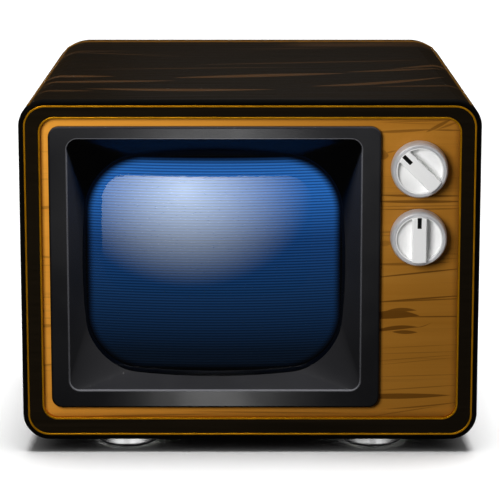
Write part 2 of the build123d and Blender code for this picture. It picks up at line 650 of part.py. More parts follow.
with BuildPart() as control_bracket:
    with BuildSketch(front_plane(PANEL_BACK, KNOB_X, (CHANNEL_Z + VOLUME_Z) / 2)):
        RectangleRounded(66, 150, 4)
    extrude(amount=-BRACKET_THICK)
    with BuildSketch(front_plane(PANEL_BACK, 0, 0)):
        with Locations((KNOB_X, CHANNEL_Z), (KNOB_X, VOLUME_Z)):
            Circle(BUSH_R + GAP)
    extrude(amount=-BRACKET_THICK, mode=Mode.SUBTRACT)
control_bracket.part.label = "control_bracket"

with BuildPart() as tuner_case:
    with BuildSketch(front_plane(CASE_NEAR, KNOB_X, CHANNEL_Z)):
        RectangleRounded(CASE_W, CASE_H, 3)
    extrude(amount=-CASE_LENGTH)
    with BuildSketch(front_plane(CASE_NEAR + CASE_WALL, KNOB_X, CHANNEL_Z)):
        RectangleRounded(CASE_W - 2 * CASE_WALL, CASE_H - 2 * CASE_WALL, 2)
    extrude(amount=2 * CASE_WALL - CASE_LENGTH, mode=Mode.SUBTRACT)
    with BuildSketch(front_plane(CASE_NEAR, KNOB_X, CHANNEL_Z)):
        Circle(BUSH_R)
    extrude(amount=CASE_NEAR - bush_front)
    with BuildSketch(front_plane(bush_front, KNOB_X, CHANNEL_Z)):
        Circle(SHAFT_R + GAP / 2)
    extrude(amount=bush_front - CASE_FAR, mode=Mode.SUBTRACT)
tuner_case.part.label = "tuner_case"

TURRET_R, STRIPS = 23.0, 12
TURRET_NEAR, TURRET_FAR = CASE_NEAR + 8, CASE_FAR - 12
SHAFT_TIP = -8.0          # depth of the shafts' front ends, inside the knobs
FLAT = 1.0                # depth of the flat on each shaft

with BuildPart() as tuner_turret:
    with BuildSketch(front_plane(TURRET_NEAR, KNOB_X, CHANNEL_Z)):
        Circle(TURRET_R)
        with PolarLocations(TURRET_R, STRIPS):
            Rectangle(3, 4, mode=Mode.SUBTRACT)
    extrude(amount=TURRET_NEAR - TURRET_FAR)
    with BuildSketch(front_plane(TURRET_NEAR, KNOB_X, CHANNEL_Z)):
        Circle(SHAFT_R + GAP)
    extrude(amount=TURRET_NEAR - TURRET_FAR, mode=Mode.SUBTRACT)
tuner_turret.part.label = "tuner_turret"


def flatted_shaft(z, far, angle):
    """A control shaft from the knob to a far depth, with a flat at its front end turned by angle."""
    with BuildPart() as shaft:
        with BuildSketch(front_plane(SHAFT_TIP, KNOB_X, z)):
            Circle(SHAFT_R)
        extrude(amount=SHAFT_TIP - far)
        with BuildSketch(turned_plane(SHAFT_TIP, KNOB_X, z, angle)):
            with Locations((0, SHAFT_R)):
                Rectangle(3 * SHAFT_R, 2 * FLAT)
        extrude(amount=SHAFT_TIP - 1, mode=Mode.SUBTRACT)
    return shaft.part


with BuildPart() as channel_shaft:
    add(flatted_shaft(CHANNEL_Z, CASE_FAR - CASE_WALL - 1, CHANNEL_ANGLE))
channel_shaft.part.label = "channel_shaft"

POT_R, POT_LENGTH = 13.0, 16.0
with BuildPart() as volume_control:
    with BuildSketch(axis_plane(KNOB_X, VOLUME_Z)):
        Polygon(
            (bush_front, 0), (bush_front, BUSH_R), (CASE_NEAR, BUSH_R), (CASE_NEAR, POT_R),
            (CASE_NEAR + POT_LENGTH, POT_R), (CASE_NEAR + POT_LENGTH, 10),
            (CASE_NEAR + POT_LENGTH + 9, 10), (CASE_NEAR + POT_LENGTH + 9, 0), align=None,
        )
    revolve(axis=depth_axis(KNOB_X, VOLUME_Z))
    with BuildSketch(front_plane(CASE_NEAR + 3, KNOB_X, VOLUME_Z)):
        with Locations((0, -POT_R)):
            Rectangle(18, 12)
    extrude(amount=-2)
    with BuildSketch(front_plane(bush_front, KNOB_X, VOLUME_Z)):
        Circle(SHAFT_R + GAP / 2)
    extrude(amount=bush_front - CASE_NEAR - POT_LENGTH + 4, mode=Mode.SUBTRACT)
volume_control.part.label = "volume_control"

with BuildPart() as volume_shaft:
    add(flatted_shaft(VOLUME_Z, CASE_NEAR + POT_LENGTH - 5, 0))
volume_shaft.part.label = "volume_shaft"

NUT_THICK = 2.4
with BuildPart() as shaft_nuts:
    with BuildSketch(front_plane(PANEL_FRONT, 0, 0)):
        with Locations((KNOB_X, CHANNEL_Z), (KNOB_X, VOLUME_Z)):
            RegularPolygon(7.2, 6)
            Circle(BUSH_R + GAP, mode=Mode.SUBTRACT)
    extrude(amount=NUT_THICK)
shaft_nuts.part.label = "shaft_nuts"

# ---------------------------------------------------------------- knobs
KNOB_BACK = PANEL_FRONT - 1.2      # depth of the knob's rear edge, clear of the panel
DISH_FRONT = -9.0                  # depth of the ring face around the dished front
RING_IN, RING_OUT = 23.4, 26.4     # radii of the metal ring's front face
GRIP_HALF = 7.2                    # half width of the grip bar
SCOOP_DEEP, SCOOP_R = 5.5, 22.4    # depth of the hollow beside the bar, and the dish's radius
SKIRT_R, HUB_R = 25.0, 6.5


def knob_ring(z):
    """The spun metal ring around a knob."""
    with BuildPart() as ring:
        with BuildSketch(axis_plane(KNOB_X, z)):
            Polygon(
                (KNOB_BACK, SKIRT_R + GAP), (KNOB_BACK, KNOB_R), (-5.5, KNOB_R - 0.6),
                (DISH_FRONT, RING_OUT), (DISH_FRONT, RING_IN + GAP), (-7, RING_IN + GAP),
                (-7, SKIRT_R + GAP), align=None,
            )
        revolve(axis=depth_axis(KNOB_X, z))
        front_edges = ring.edges().filter_by(GeomType.CIRCLE).group_by(Axis.Y)
        fillet(front_edges[0], radius=0.6)
    return ring.part


def knob_cap(z, angle):
    """The moulded knob: a cap with a bar grip between two hollows, turned anticlockwise by angle."""
    turned = turned_plane(0, KNOB_X, z, angle)
    with BuildPart() as scoops:
        with BuildSketch(Plane(turned.origin, x_dir=turned.x_dir, z_dir=-turned.y_dir)):
            with BuildLine():
                Polyline(
                    (SCOOP_R + 1, -DISH_FRONT - 0.8), (SCOOP_R + 1, -DISH_FRONT + 1),
                    (GRIP_HALF, -DISH_FRONT + 1), (GRIP_HALF, -DISH_FRONT - SCOOP_DEEP),
                )
                RadiusArc(
                    (GRIP_HALF, -DISH_FRONT - SCOOP_DEEP), (SCOOP_R + 1, -DISH_FRONT - 0.8), -30
                )
            make_face()
            mirror(about=Plane.YZ)
        extrude(amount=KNOB_R, both=True)
        with BuildSketch(turned):
            Circle(SCOOP_R)
        extrude(amount=KNOB_R, mode=Mode.INTERSECT)
    with BuildPart() as cap:
        with BuildSketch(turned.offset(-DISH_FRONT)):
            Rectangle(2 * GRIP_HALF, 4 * RING_IN)
            Circle(RING_IN, mode=Mode.INTERSECT)
        extrude(amount=KNOB_PROUD + DISH_FRONT)
        fillet(cap.faces().sort_by(Axis.Y)[0].edges(), radius=1.0)
        with BuildSketch(axis_plane(KNOB_X, z)):
            Polygon(
                (KNOB_BACK, SKIRT_R - 2), (KNOB_BACK, SKIRT_R), (-7 + GAP, SKIRT_R),
                (-7 + GAP, RING_IN), (DISH_FRONT, RING_IN), (DISH_FRONT, 0), (-1, 0),
                (-1, SKIRT_R - 2), align=None,
            )
        revolve(axis=depth_axis(KNOB_X, z))
        with BuildSketch(front_plane(-1, KNOB_X, z)):
            Circle(HUB_R)
        extrude(amount=-1.5)
        add(scoops.part, mode=Mode.SUBTRACT)
        with BuildSketch(turned.offset(-1)):
            Circle(SHAFT_R + GAP / 2)
            with Locations((0, SHAFT_R)):
                Rectangle(3 * SHAFT_R, 2 * FLAT - GAP, mode=Mode.SUBTRACT)
        extrude(amount=1 - SHAFT_TIP + 0.5, mode=Mode.SUBTRACT)
        with BuildSketch(turned.offset(KNOB_PROUD - 0.8)):
            add(pointer_outline(GAP / 2))
        extrude(amount=1, mode=Mode.SUBTRACT)
    return cap.part


POINTER_W, POINTER_IN, POINTER_OUT = 4.0, 12.6, 23.4


def pointer_outline(grow=0.0):
    """The black mark on a knob, pointing along the sketch's second axis."""
    with BuildSketch() as mark:
        with Locations((0, (POINTER_IN + POINTER_OUT) / 2)):
            Rectangle(POINTER_W + 2 * grow, POINTER_OUT - POINTER_IN + 2 * grow)
    return mark.sketch


def knob_pointer(z, angle):
    """The black mark let into a knob's grip bar."""
    with BuildPart() as pointer:
        with BuildSketch(turned_plane(0.7 - KNOB_PROUD, KNOB_X, z, angle)):
            add(pointer_outline())
        extrude(amount=0.8)
    return pointer.part


knobs = {}
for knob_name, knob_z, knob_angle in (("channel", CHANNEL_Z, CHANNEL_ANGLE), ("volume", VOLUME_Z, 0)):
    for piece_name, shape in (
        ("knob", knob_cap(knob_z, knob_angle)),
        ("knob_rim", knob_ring(knob_z)),
        ("knob_pointer", knob_pointer(knob_z, knob_angle)),
    ):
        shape.label = f"{knob_name}_{piece_name}"
        knobs[shape.label] = shape

# ---------------------------------------------------------------- loudspeaker
CLOTH_THICK = 0.6
FRAME_NEAR = CLOTH_THICK + 2 * GAP      # from the wall, inwards
BASKET_DEEP, BASKET_THICK, MAGNET_R, MAGNET_DEEP = 20.0, 1.5, 18.0, 9.0
speaker_radial = Plane(
    origin=speaker_plane.origin, x_dir=speaker_plane.x_dir, z_dir=speaker_plane.y_dir
)
speaker_axis = Axis(speaker_plane.origin, speaker_plane.z_dir)
inward = -1 if speaker_radial.y_dir.dot(speaker_plane.z_dir) < 0 else 1

with BuildPart() as speaker_cloth:
    with BuildSketch(speaker_plane.offset(GAP)):
        RectangleRounded(78, 78, 6)
    extrude(amount=CLOTH_THICK)
speaker_cloth.part.label = "speaker_cloth"

CONE_OUT, COIL_R, COIL_START = 31.5, 8.0, 17.0
with BuildPart() as speaker_frame:
    with BuildSketch(speaker_radial):
        Polygon(
            *[(r, inward * d) for r, d in (
                (33, FRAME_NEAR), (SPEAKER_R, FRAME_NEAR), (SPEAKER_R, FRAME_NEAR + 3),
                (34.5, FRAME_NEAR + 3), (20, BASKET_DEEP + BASKET_THICK),
                (MAGNET_R, BASKET_DEEP + BASKET_THICK),
                (MAGNET_R, BASKET_DEEP + BASKET_THICK + MAGNET_DEEP),
                (0, BASKET_DEEP + BASKET_THICK + MAGNET_DEEP), (0, COIL_START),
                (COIL_R - 0.8, COIL_START), (COIL_R - 0.8, BASKET_DEEP + 5),
                (COIL_R + 1.2, BASKET_DEEP + 5), (COIL_R + 1.2, BASKET_DEEP),
                (19, BASKET_DEEP), (33, FRAME_NEAR + 3),
            )], align=None,
        )
    revolve(axis=speaker_axis)
    with BuildSketch(speaker_plane.offset(FRAME_NEAR + 3.5)):
        with PolarLocations(26.5, 6):
            Rectangle(12, 14)
    extrude(amount=BASKET_DEEP - FRAME_NEAR - 3.5, mode=Mode.SUBTRACT)
speaker_frame.part.label = "speaker_frame"

with BuildPart() as speaker_cone:
    with BuildSketch(speaker_radial):
        Polygon(
            *[(r, inward * d) for r, d in (
                (CONE_OUT, FRAME_NEAR + 2), (CONE_OUT, FRAME_NEAR + 2.8), (COIL_R + 0.4, 16.5),
                (COIL_R + 0.4, BASKET_DEEP + 3), (COIL_R, BASKET_DEEP + 3), (COIL_R, 15.5),
                (0, 12.5), (0, 11.7), (COIL_R, 14.6),
            )], align=None,
        )
    revolve(axis=speaker_axis)
speaker_cone.part.label = "speaker_cone"

# ---------------------------------------------------------------- rear cover and what is on it
VENT_W, VENT_H, VENT_PITCH = 3.6, 34.0, 10.5
PRESET_HOLE_R, TERMINAL_SCREW_R = 4.2, 1.7
INLET_W, INLET_H = 34.0, 22.0
CUP_HOLE_R = CUP_R - 0.5
terminal_points = [(TERMINAL_X + 15.0 * k, TERMINAL_Z) for k in (-1.5, -0.5, 0.5, 1.5)]
rivet_points = [
    (SCREEN_X + 48.5 * cos(radians(a)), SCREEN_Z + 48.5 * sin(radians(a))) for a in (45, 135, 225, 315)
]

with BuildPart() as rear_cover:
    with BuildSketch(front_plane(COVER_FRONT)):
        RectangleRounded(*cabinet_section(CABINET_DEPTH, WALL + 0.6))
    extrude(amount=-COVER_THICK)
    with BuildSketch(front_plane(COVER_FRONT)):
        with Locations((0, 124)):
            with GridLocations(VENT_PITCH, 0, 30, 1):
                SlotOverall(VENT_H, VENT_W, rotation=90)
        with Locations((-15, -88)):
            with GridLocations(VENT_PITCH, 0, 18, 1):
                SlotOverall(VENT_H, VENT_W, rotation=90)
    extrude(amount=-COVER_THICK, mode=Mode.SUBTRACT)
    with BuildSketch(front_plane(COVER_FRONT, 0, 0)):
        with Locations((SCREEN_X, SCREEN_Z)):
            Circle(CUP_HOLE_R)
        with Locations(*cover_screw_points):
            Circle(COVER_SCREW_R + GAP)
        with Locations(*rivet_points):
            Circle(COVER_SCREW_R + GAP)
        with Locations(*[(x, PRESET_Z) for x in PRESET_X]):
            Circle(PRESET_HOLE_R)
        with Locations(*terminal_points):
            Circle(TERMINAL_SCREW_R + GAP)
        with Locations((INLET_X, INLET_Z)):
            Rectangle(INLET_W + 2 * GAP, INLET_H + 2 * GAP)
    extrude(amount=-COVER_THICK, mode=Mode.SUBTRACT)
rear_cover.part.label = "rear_cover"

CUP_END = CABINET_DEPTH + CUP_DEPTH
with BuildPart() as neck_cup:
    with BuildSketch(axis_plane(SCREEN_X, SCREEN_Z)):
        Polygon(
            (COVER_BACK, CUP_R - 2.4), (COVER_BACK, CUP_R + 11), (COVER_BACK + 2, CUP_R + 11),
            (COVER_BACK + 2, CUP_R), (CUP_END, CUP_R - 6), (CUP_END, 0), (CUP_END - 2.4, 0),
            (CUP_END - 2.4, CUP_R - 8.4), align=None,
        )
    revolve(axis=funnel_axis)
    rim_edges = neck_cup.edges().filter_by(GeomType.CIRCLE).group_by(Axis.Y)[-1]
    fillet(rim_edges, radius=3)
    with BuildSketch(front_plane(COVER_BACK, 0, 0)):
        with Locations(*rivet_points):
            Circle(COVER_SCREW_R + GAP)
    extrude(amount=-2, mode=Mode.SUBTRACT)
    with BuildSketch(front_plane(CUP_END + 1, SCREEN_X, SCREEN_Z)):
        with GridLocations(9, 0, 5, 1):
            SlotOverall(36, 3.4, rotation=90)
    extrude(amount=6, mode=Mode.SUBTRACT)
neck_cup.part.label = "neck_cup"

with BuildPart() as rear_cover_screws:
    for points, seat, length in (
        (cover_screw_points, COVER_BACK, COVER_THICK + CLEAT - 3),
        (rivet_points, COVER_BACK + 2, COVER_THICK + 2 + 1.5),
    ):
        with BuildSketch(front_plane(seat, 0, 0)):
            with Locations(*points):
                Circle(COVER_SCREW_R)
        extrude(amount=length)
        with BuildSketch(front_plane(seat, 0, 0)):
            with Locations(*points):
                Circle(3.8)
        extrude(amount=-2.2, taper=12)
        with BuildSketch(front_plane(seat + 2.2, 0, 0)):
            with Locations(*points):
                Rectangle(5, 0.9)
                Rectangle(0.9, 5)
        extrude(amount=1.0, mode=Mode.SUBTRACT)
rear_cover_screws.part.label = "rear_cover_screws"

BOARD_BLOCK = 4.0
with BuildPart() as terminal_board:
    with BuildSketch(front_plane(COVER_BACK, TERMINAL_X, TERMINAL_Z)):
        RectangleRounded(72, 26, 3)
    extrude(amount=-BOARD_BLOCK)
    with BuildSketch(front_plane(COVER_BACK + BOARD_BLOCK, TERMINAL_X, TERMINAL_Z)):
        with GridLocations(15, 0, 5, 1):
            Rectangle(2, 22)
    extrude(amount=-1.6)
    with BuildSketch(front_plane(COVER_BACK, 0, 0)):
        with Locations(*terminal_points):
            Circle(TERMINAL_SCREW_R + GAP)
    extrude(amount=-BOARD_BLOCK, mode=Mode.SUBTRACT)
terminal_board.part.label = "terminal_board"

TERMINAL_STUD = 7.0       # how far the terminal screws stand behind their board
with BuildPart() as terminal_screws:
    with BuildSketch(front_plane(COVER_BACK + BOARD_BLOCK + TERMINAL_STUD, 0, 0)):
        with Locations(*terminal_points):
            Circle(TERMINAL_SCREW_R)
    extrude(amount=TERMINAL_STUD + BOARD_BLOCK + COVER_THICK + 6)
    with BuildSketch(front_plane(COVER_BACK + BOARD_BLOCK + TERMINAL_STUD - 2.5, 0, 0)):
        with Locations(*terminal_points):
            Circle(4.2)
    extrude(amount=-2.5)
    fillet(terminal_screws.faces().sort_by(Axis.Y)[-1].edges(), 0.5)
    with BuildSketch(front_plane(COVER_BACK + BOARD_BLOCK + TERMINAL_STUD, 0, 0)):
        with Locations(*terminal_points):
            Rectangle(9, 1.0)
    extrude(amount=1.2, mode=Mode.SUBTRACT)
terminal_screws.part.label = "terminal_screws"

INLET_DEEP, PIN_SPACING = 15.0, 10.0
with BuildPart() as power_inlet:
    with BuildSketch(front_plane(COVER_BACK, INLET_X, INLET_Z)):
        RectangleRounded(INLET_W + 12, INLET_H + 10, 3)
    extrude(amount=-2)
    with BuildSketch(front_plane(COVER_BACK, INLET_X, INLET_Z)):
        Rectangle(INLET_W, INLET_H)
    extrude(amount=INLET_DEEP + 4)
    with BuildSketch(front_plane(COVER_BACK + 2, INLET_X, INLET_Z)):
        RectangleRounded(INLET_W - 5, INLET_H - 5, 4)
    extrude(amount=INLET_DEEP + 2, mode=Mode.SUBTRACT)
power_inlet.part.label = "power_inlet"

with BuildPart() as inlet_pins:
    with BuildSketch(front_plane(COVER_BACK - INLET_DEEP, INLET_X, INLET_Z)):
        with GridLocations(PIN_SPACING, 0, 2, 1):
            Circle(1.6)
    extrude(amount=2.5 - INLET_DEEP)
inlet_pins.part.label = "inlet_pins"

POT_NEAR, POT_FAR, POT_FOOT, PRESET_SHAFT_R = 301.0, 307.0, 30.0, 2.0
with BuildPart() as preset_pots:
    with BuildSketch(front_plane(POT_NEAR, 0, 0)):
        with Locations(*[(x, PRESET_Z) for x in PRESET_X]):
            Circle(8)
            with Locations((0, (BOARD_TOP - PRESET_Z) / 2)):
                Rectangle(10, PRESET_Z - BOARD_TOP)
    extrude(amount=POT_NEAR - POT_FAR)
    with BuildSketch(Plane.XY.offset(BOARD_TOP)):
        with Locations(*[(x, FRONT_Y + POT_FAR - POT_FOOT / 2) for x in PRESET_X]):
            Rectangle(10, POT_FOOT)
    extrude(amount=1.5)
    with BuildSketch(front_plane(POT_NEAR, 0, 0)):
        with Locations(*[(x, PRESET_Z) for x in PRESET_X]):
            Circle(PRESET_SHAFT_R + GAP / 2)
    extrude(amount=POT_NEAR - POT_FAR, mode=Mode.SUBTRACT)
preset_pots.part.label = "preset_pots"

PRESET_R = 7.5
presets = []
for preset_name, preset_x in zip(("brightness_knob", "contrast_knob", "vertical_hold_knob"), PRESET_X):
    with BuildPart() as preset:
        with BuildSketch(front_plane(COVER_BACK + 0.6, preset_x, PRESET_Z)):
            Circle(PRESET_R)
            with PolarLocations(PRESET_R, 16):
                Circle(0.7, mode=Mode.SUBTRACT)
        extrude(amount=-10)
        chamfer(preset.faces().sort_by(Axis.Y)[-1].edges(), 0.8)
        with BuildSketch(front_plane(COVER_BACK + 10.6, preset_x, PRESET_Z)):
            with Locations((0, PRESET_R / 2)):
                Rectangle(1.4, PRESET_R)
        extrude(amount=1, mode=Mode.SUBTRACT)
        with BuildSketch(front_plane(COVER_BACK + 0.6, preset_x, PRESET_Z)):
            Circle(PRESET_SHAFT_R)
        extrude(amount=COVER_BACK + 0.6 - POT_NEAR)
    preset.part.label = preset_name
    presets.append(preset)

# ---------------------------------------------------------------- export
pieces = [
    cabinet_shell, face_frame, outer_trim, inner_trim, front_panel, back_cleats, foot_pads,
    screen_bezel, crt_faceplate, phosphor_screen, crt_funnel, tube_band,
    tube_mount_posts, front_screws, electron_gun, tube_base, tube_socket_board, yoke_coils,
    yoke_core, anode_cap, anode_lead, chassis_frame, main_board, power_transformer,
    flyback_transformer, electrolytic_capacitors, heat_sink, control_bracket, tuner_case,
    tuner_turret, channel_shaft, volume_control, volume_shaft, shaft_nuts, speaker_cloth,
    speaker_frame, speaker_cone, rear_cover, neck_cup, rear_cover_screws, terminal_board,
    terminal_screws, power_inlet, inlet_pins, preset_pots, *feet, *centering_rings, *presets,
]
shapes = [piece.part for piece in pieces] + list(knobs.values())
for shape in shapes:
    export_step(shape, f"parts/{shape.label}.step")
print(len(shapes), "pieces written")
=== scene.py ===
"""The looks of a 1970s table-top television set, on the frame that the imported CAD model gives.

Lengths are metres, +Z is up and the set faces -Y. Every CAD node keeps its mesh and gets a node material.
The one piece made here is the gold inlay along the cabinet's top edges. The floor, the lights and a glowing
panel that the glass reflects are the stage.
"""
import math

import bpy
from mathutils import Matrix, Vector


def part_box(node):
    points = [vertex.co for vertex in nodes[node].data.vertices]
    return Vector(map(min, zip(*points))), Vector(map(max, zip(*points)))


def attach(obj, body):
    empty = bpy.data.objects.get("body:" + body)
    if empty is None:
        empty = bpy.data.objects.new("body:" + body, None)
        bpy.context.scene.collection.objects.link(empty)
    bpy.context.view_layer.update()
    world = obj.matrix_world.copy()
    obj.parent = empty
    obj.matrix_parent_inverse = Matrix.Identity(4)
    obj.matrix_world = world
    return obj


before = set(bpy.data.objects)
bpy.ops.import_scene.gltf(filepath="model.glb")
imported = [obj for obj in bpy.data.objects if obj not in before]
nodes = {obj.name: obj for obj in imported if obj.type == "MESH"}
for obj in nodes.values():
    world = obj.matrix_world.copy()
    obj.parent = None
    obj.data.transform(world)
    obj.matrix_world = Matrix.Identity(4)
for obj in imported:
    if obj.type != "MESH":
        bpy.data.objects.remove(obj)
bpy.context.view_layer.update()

MM = 0.001


def linear(r, g, b):
    """A colour given as 0 to 255 display values, in linear light, with full alpha."""
    def one(c):
        c /= 255
        return c / 12.92 if c <= 0.04045 else ((c + 0.055) / 1.055) ** 2.4
    return one(r), one(g), one(b), 1.0


# ---------------------------------------------------------------- where things are
shell_low, shell_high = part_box("cabinet_shell")
open_low, open_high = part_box("inner_trim")
lit_low, lit_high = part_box("phosphor_screen")
FRONT = shell_low.y
TOP = shell_high.z


# ---------------------------------------------------------------- material building blocks
class Graph:
    """Short calls for the nodes of a tree. Sockets may be given as numbers, tuples or links."""

    def __init__(self, tree):
        self.tree = tree

    def node(self, kind, **settings):
        made = self.tree.nodes.new(kind)
        for name, value in settings.items():
            setattr(made, name, value)
        return made

    def first(self, kind):
        return next(n for n in self.tree.nodes if n.type == kind)

    def put(self, socket, value):
        if isinstance(value, bpy.types.NodeSocket):
            self.tree.links.new(value, socket)
        else:
            socket.default_value = value

    def math(self, operation, *values):
        made = self.node("ShaderNodeMath", operation=operation)
        for socket, value in zip(made.inputs, values):
            self.put(socket, value)
        return made.outputs[0]

    def span(self, value, low, high, to_low=0.0, to_high=1.0, smooth=True):
        """A value mapped from one range to another, and held at the ends."""
        made = self.node("ShaderNodeMapRange", interpolation_type="SMOOTHSTEP" if smooth else "LINEAR")
        for socket, number in zip(("Value", "From Min", "From Max", "To Min", "To Max"),
                                  (value, low, high, to_low, to_high)):
            self.put(made.inputs[socket], number)
        return made.outputs[0]


class Shader(Graph):
    """A new material. Its `here` is the place on the object, in metres."""

    def __init__(self, name, **sockets):
        self.material = bpy.data.materials.new(name)
        self.material.use_nodes = True
        super().__init__(self.material.node_tree)
        self.surface = self.first("BSDF_PRINCIPLED")
        self.here = self.node("ShaderNodeTexCoord").outputs["Object"]
        for socket, value in sockets.items():
            self.set(socket.replace("_", " "), value)

    def set(self, name, value):
        self.put(self.surface.inputs[name], value)

    def axes(self):
        made = self.node("ShaderNodeSeparateXYZ")
        self.put(made.inputs[0], self.here)
        return made.outputs

    def vector(self, x=0.0, y=0.0, z=0.0):
        made = self.node("ShaderNodeCombineXYZ")
        for socket, value in zip(made.inputs, (x, y, z)):
            self.put(socket, value)
        return made.outputs[0]

    def scaled(self, value, scale):
        return self.math("MULTIPLY", value, scale)

    def stretched(self, scale):
        """The place on the object with each axis scaled."""
        made = self.node("ShaderNodeVectorMath", operation="MULTIPLY")
        self.put(made.inputs[0], self.here)
        self.put(made.inputs[1], scale)
        return made.outputs[0]

    def noise(self, vector, scale=1.0, detail=2.0, rough=0.5, warp=0.0):
        made = self.node("ShaderNodeTexNoise")
        self.put(made.inputs["Vector"], vector)
        self.put(made.inputs["Scale"], scale)
        self.put(made.inputs["Detail"], detail)
        self.put(made.inputs["Roughness"], rough)
        self.put(made.inputs["Distortion"], warp)
        return made.outputs["Fac"]

    def inside(self, x, z, low, high, corner):
        """How far a point of the XZ plane lies inside a rounded rectangle, up to the corner's radius."""
        total = 0.0
        for place, start, end in ((x, low[0], high[0]), (z, low[1], high[1])):
            off = self.math("ABSOLUTE", self.math("SUBTRACT", place, (start + end) / 2))
            past = self.math("MAXIMUM", self.math("SUBTRACT", off, (end - start) / 2 - corner), 0.0)
            total = self.math("MULTIPLY_ADD", past, past, total)
        return self.math("SUBTRACT", corner, self.math("SQRT", total))

    def mix(self, share, first, second, blend="MIX"):
        made = self.node("ShaderNodeMix", data_type="RGBA", blend_type=blend)
        self.put(made.inputs["Factor"], share)
        self.put(made.inputs["A"], first)
        self.put(made.inputs["B"], second)
        return made.outputs["Result"]

    def ramp(self, share, *stops):
        made = self.node("ShaderNodeValToRGB")
        self.put(made.inputs[0], share)
        elements = made.color_ramp.elements
        while len(elements) < len(stops):
            elements.new(0.5)
        for element, (place, colour) in zip(elements, stops):
            element.position = place
            element.color = colour
        return made.outputs["Color"]

    def bump(self, height, distance, strength=1.0):
        made = self.node("ShaderNodeBump")
        self.put(made.inputs["Strength"], strength)
        self.put(made.inputs["Distance"], distance)
        self.put(made.inputs["Height"], height)
        self.set("Normal", made.outputs[0])


def on(shader, *names):
    """Gives a material to CAD nodes, or to pieces made here."""
    for name in names:
        target = nodes[name] if isinstance(name, str) else name
        target.data.materials.clear()
        target.data.materials.append(shader.material)


# ---------------------------------------------------------------- wood
STREAK_SHAPE = ("middle u", "middle v", "half length", "half width", "slope", "bend")


def streak_group():
    """A node group that masks one spindle-shaped streak of grain in a plane of u and v."""
    tree = bpy.data.node_groups.new("streak", "ShaderNodeTree")
    for name in ("u", "v", *STREAK_SHAPE):
        tree.interface.new_socket(name, in_out="INPUT", socket_type="NodeSocketFloat")
    tree.interface.new_socket("mask", in_out="OUTPUT", socket_type="NodeSocketFloat")
    group = Graph(tree)
    given = group.node("NodeGroupInput").outputs
    along = group.math("SUBTRACT", given["u"], given["middle u"])
    part = group.math("DIVIDE", along, given["half length"])
    square = group.math("MULTIPLY", part, part)
    centre = group.math("ADD", group.math("MULTIPLY_ADD", along, given["slope"], given["middle v"]),
                        group.math("MULTIPLY", square, given["bend"]))
    across = group.math("ABSOLUTE", group.math("SUBTRACT", given["v"], centre))
    room = group.math("MULTIPLY", group.math("SUBTRACT", 1.0, square), given["half width"])
    mask = group.span(group.math("SUBTRACT", room, across), -0.25 * MM, 0.35 * MM)
    group.put(group.node("NodeGroupOutput").inputs[0], mask)
    return tree


STREAK = streak_group()


def streaks(shader, u, v, rows):
    """The strongest of a list of streaks. A row is STREAK_SHAPE in mm, with a plain slope, and a strength."""
    total = 0.0
    for *shape, strength in rows:
        made = shader.node("ShaderNodeGroup", node_tree=STREAK)
        shader.put(made.inputs["u"], u)
        shader.put(made.inputs["v"], v)
        for name, value in zip(STREAK_SHAPE, shape):
            made.inputs[name].default_value = value if name == "slope" else value * MM
        total = shader.math("MAXIMUM", total, shader.scaled(made.outputs[0], strength))
    return total


